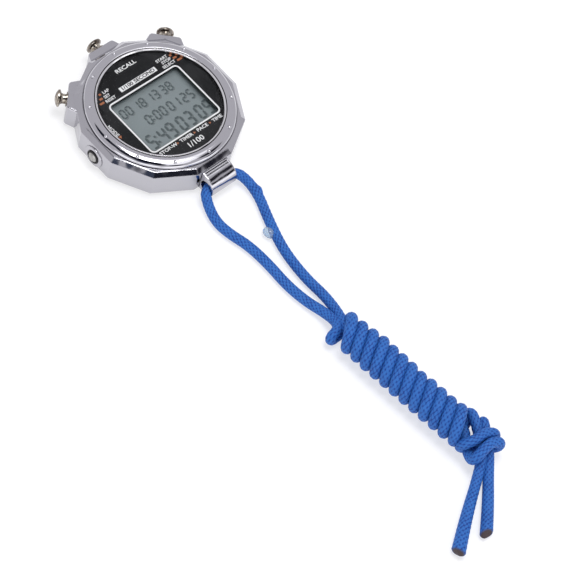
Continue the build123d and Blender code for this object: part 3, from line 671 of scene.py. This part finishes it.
def dial_print():
    """Window frame, button labels and mode names in white; pointers and stripes in orange."""
    white = bmesh.new()
    z = DIAL_Z + 0.004
    outline_band(white, 17.73, 13.45, 1.9, 0.7, -2.6, z)
    flat_shape(white, ((-8.9, 12.9), (9.7, 12.9), (9.7, 15.1), (-8.9, 15.1)), z, INK_THICK)
    lettering(white, "RECALL", 1.75, 0.4, 21.5, 0, z + WORD_LIFT, stretch=1.18, weight=0.05)
    for text, x, y in (("LAP", -15.3, 16.9), ("SET", -16.2, 14.9), ("RESET", -17.0, 12.9)):
        lettering(white, text, 1.3, x, y, 0, z + WORD_LIFT, align="LEFT", stretch=1.0, weight=0.04)
    for text, x, y in (("START", 17.5, 16.2), ("STOP", 17.9, 14.4), ("SELECT", 18.6, 12.5)):
        lettering(white, text, 1.3, x, y, 0, z + WORD_LIFT, align="RIGHT", stretch=1.05, weight=0.04)
    for text, x in (("STOP-W", -11.5), ("TIMER", -2.2), ("PACE", 6.1), ("TIME", 13.9)):
        lettering(white, text, 1.45, x, -17.9, 0, z + WORD_LIFT, stretch=1.12, weight=0.05)
    lettering(white, "1/100", 2.3, -0.4, -21.3, 0, z + WORD_LIFT, stretch=1.1, weight=0.05)
    lettering(white, "MODE", 1.35, -23.6, 0.9, -86, z + WORD_LIFT, stretch=1.1, weight=0.04)
    add_piece("dial_print_white", mesh_from(white, "dial_print_white"), WHITE_INK, "case")

    orange = bmesh.new()
    for x, y in ((-16.6, -17.9), (-6.6, -17.9), (2.1, -17.9), (10.2, -17.9)):
        flat_shape(orange, ((x - 0.5, y - 0.55), (x + 0.5, y), (x - 0.5, y + 0.55)), z, INK_THICK)
    for x0, x1, y in ((-17.2, -16.2, 17.0), (-18.4, -16.9, 15.1), (-19.7, -17.6, 13.3)):
        flat_shape(orange, ((x0, y - 0.45), (x1, y - 0.45), (x1, y + 0.45), (x0, y + 0.45)), z, INK_THICK)
    for x0, x1, y in ((18.2, 19.2, 15.6), (18.7, 20.4, 13.8), (19.4, 21.8, 12.1)):
        flat_shape(orange, ((x0, y - 0.45), (x1, y - 0.45), (x1, y + 0.45), (x0, y + 0.45)), z, INK_THICK)
    flat_shape(orange, ((-23.9, -2.4), (-22.4, -2.4), (-23.1, -3.7)), z, INK_THICK)
    add_piece("dial_print_orange", mesh_from(orange, "dial_print_orange"), ORANGE_INK, "case")

    dark = bmesh.new()
    lettering(dark, "1/100 SECOND", 1.5, 0.4, 14.0, 0, z + 0.022, stretch=1.22, weight=0.07)
    add_piece("dial_print_dark", mesh_from(dark, "dial_print_dark"), DARK_INK, "case")


SEGMENTS = {"0": "abcdef", "1": "bc", "2": "abged", "3": "abgcd", "4": "fgbc", "5": "afgcd", "6": "afgedc",
            "7": "abc", "8": "abcdefg", "9": "abcdfg"}


def seven_segment(bm, digit, x, y, width, height, thick, z):
    """One digit, with its lower left corner at x, y."""
    half = height / 2
    gap = thick * 0.12
    t = thick / 2

    def bar(x0, y0, x1, y1):
        if x0 == x1:
            y0, y1 = y0 + gap, y1 - gap
            shape = ((x0, y0), (x0 + t, y0 + t), (x0 + t, y1 - t), (x0, y1), (x0 - t, y1 - t), (x0 - t, y0 + t))
        else:
            x0, x1 = x0 + gap, x1 - gap
            shape = ((x0, y0), (x0 + t, y0 - t), (x1 - t, y0 - t), (x1, y0), (x1 - t, y0 + t), (x0 + t, y0 + t))
        # Digits lean a little to the right.
        flat_shape(bm, [(px + 0.06 * (py - y), py) for px, py in shape], z, SEGMENT_THICK)

    left, right, low, mid, top = x + t, x + width - t, y + t, y + half, y + height - t
    places = {"a": (left, top, right, top), "g": (left, mid, right, mid), "d": (left, low, right, low),
              "f": (left, mid, left, top), "b": (right, mid, right, top),
              "e": (left, low, left, mid), "c": (right, low, right, mid)}
    for key in SEGMENTS[digit]:
        bar(*places[key])


def display_row(bm, text, x, y, width, height, thick, pitch, z):
    """A row of digits; a space is a narrow gap and a colon two dots."""
    for mark in text:
        if mark == " ":
            x += pitch * 0.22
        elif mark == ":":
            for level in (0.28, 0.68):
                flat_shape(bm, [(x + dx * thick, y + level * height + dy * thick)
                                for dx, dy in ((-0.5, -0.5), (0.5, -0.5), (0.5, 0.5), (-0.5, 0.5))], z, SEGMENT_THICK)
            x += pitch * 0.3
        else:
            seven_segment(bm, mark, x, y, width, height, thick, z)
            x += pitch


def display_digits():
    """Three rows of digits: the last lap, the running split, and the total in larger figures."""
    for name, dx, dy, z, finish in (("display_shadows", 0.3, -0.5, 11.902, SEGMENT_SHADOW),
                                    ("display_digits", 0.0, 0.0, 11.916, SEGMENT)):
        bm = bmesh.new()
        display_row(bm, "00 18 13 38", -15.4 + dx, 3.4 + dy, 2.5, 4.6, 0.62, 3.1, z)
        display_row(bm, "0:00 01 25", -8.8 + dx, -4.4 + dy, 2.6, 4.9, 0.68, 3.2, z)
        display_row(bm, "5:49 03 09", -15.2 + dx, -14.3 + dy, 3.5, 7.2, 0.95, 4.35, z)
        add_piece(name, mesh_from(bm, name), finish, "case")


def return_spring(name, turn, z, foot, length, wire, turns, joint):
    """A wire spring that stands on its seat; millimetres and degrees."""
    a = math.radians(turn)
    outward = Vector((math.sin(a), math.cos(a), 0))
    across = Vector((math.cos(a), -math.sin(a), 0))
    up = Vector((0, 0, 1))
    seat = outward * foot + up * z
    bm = bmesh.new()
    steps, mean = 24 * turns, 1.35
    rings = []
    for k in range(steps + 1):
        t = 2 * math.pi * turns * k / steps
        spoke = across * math.cos(t) + up * math.sin(t)
        centre = seat + outward * (wire + (length - 2 * wire) * k / steps) + spoke * mean
        rings.append([bm.verts.new((centre + (spoke * math.cos(b) + outward * math.sin(b)) * wire) * MM)
                      for b in (math.pi * m / 4 for m in range(8))])
    skin(bm, rings)
    piece = add_piece(name, mesh_from(bm, name, smooth=True), SPRING_STEEL, "case")
    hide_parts(joint.replace("press", "spring"))
    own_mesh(piece)


dial_print()
display_digits()
for button, turn in (("recall", 0), ("start", 45), ("reset", -45)):
    return_spring(button + "_return_spring", turn, 8.6, 29.6, 4.0, 0.18, 5, button + "_press")
return_spring("mode_return_spring", -90, 6.0, 30.6, 1.7, 0.16, 3, "mode_press")


# ---------------------------------------------------------------- small parts seen beside these

def blob_of_glue():
    """A clear pale drop stuck to the near side of the right leg."""
    bm = bmesh.new()
    bmesh.ops.create_icosphere(bm, subdivisions=4, radius=2.3 * MM)
    for vert in bm.verts:
        # Flattened where it lies on the table and drawn out along the cord.
        vert.co = Vector((vert.co.x * 0.9, vert.co.y * 1.2, vert.co.z * 0.85))
    place = Matrix.Translation(Vector((1.7, -65.0, 2.1)) * MM) @ Matrix.Rotation(math.radians(16), 4, "Z")
    bmesh.ops.transform(bm, matrix=place, verts=bm.verts)
    add_piece("glue_drop", mesh_from(bm, "glue_drop", smooth=True), GLUE, "case")


def notch_shadow_blocks():
    """Painted shade: two small dark rubber blocks stand for the shadowed slots at the upper edge of the recessed
    button's seat.
    """
    bm = bmesh.new()
    for y, z, w, h in ((-0.9, 8.9, 0.5, 0.5), (-2.3, 7.9, 0.9, 0.8)):
        bmesh.ops.create_cube(bm, size=1.0, matrix=Matrix.Translation((-33.36 * MM, y * MM, z * MM))
                              @ Matrix.Diagonal((0.12 * MM, w * MM, h * MM, 1.0)))
    bmesh.ops.bevel(bm, geom=bm.edges[:], offset=0.04 * MM, segments=2, profile=0.5, affect="EDGES", material=-1)
    add_piece("notch_shadow_blocks", mesh_from(bm, "notch_shadow_blocks"), RUBBER, "case")


STUD_CIRCLE = 28.3
STUD_R = 0.75
STUD_Z = 15.55


def turned_ring():
    """The raised ring, its top gently crowned into a rounded shoulder, with twelve domed studs."""
    profile = [(26.1, 13.2), (26.1, 15.6), (26.13, 15.68), (26.2, 15.71)]
    steps = 18
    for k in range(steps + 1):
        t = math.pi / 2 * k / steps
        profile.append((26.9 + 3.3 * math.sin(t), 13.62 + 2.1 * math.cos(t)))
    profile.append((30.2, 13.2))
    bm = bmesh.new()
    line = [bm.verts.new((r * MM, 0, z * MM)) for r, z in profile]
    edges = [bm.edges.new((line[k], line[(k + 1) % len(line)])) for k in range(len(line))]
    bmesh.ops.spin(bm, geom=line + edges, cent=(0, 0, 0), axis=(0, 0, 1), angle=2 * math.pi, steps=240,
                   use_merge=True)
    bmesh.ops.remove_doubles(bm, verts=bm.verts, dist=0.001 * MM)
    for k in range(12):
        angle = math.radians(30 * k)
        made = bmesh.ops.create_uvsphere(bm, u_segments=24, v_segments=12, radius=STUD_R * MM)
        for vert in made["verts"]:
            # A dome 0.6 mm high on a shallow foot that is sunk into the ring.
            vert.co.z *= 0.8 if vert.co.z > 0 else 0.4
        place = Vector((STUD_CIRCLE * math.sin(angle), STUD_CIRCLE * math.cos(angle), STUD_Z))
        bmesh.ops.translate(bm, verts=made["verts"], vec=place * MM)
    piece = add_piece("crowned_ring", mesh_from(bm, "crowned_ring", smooth=True), CHROME_RING, "case")
    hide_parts("bezel_ring")


blob_of_glue()
notch_shadow_blocks()
turned_ring()
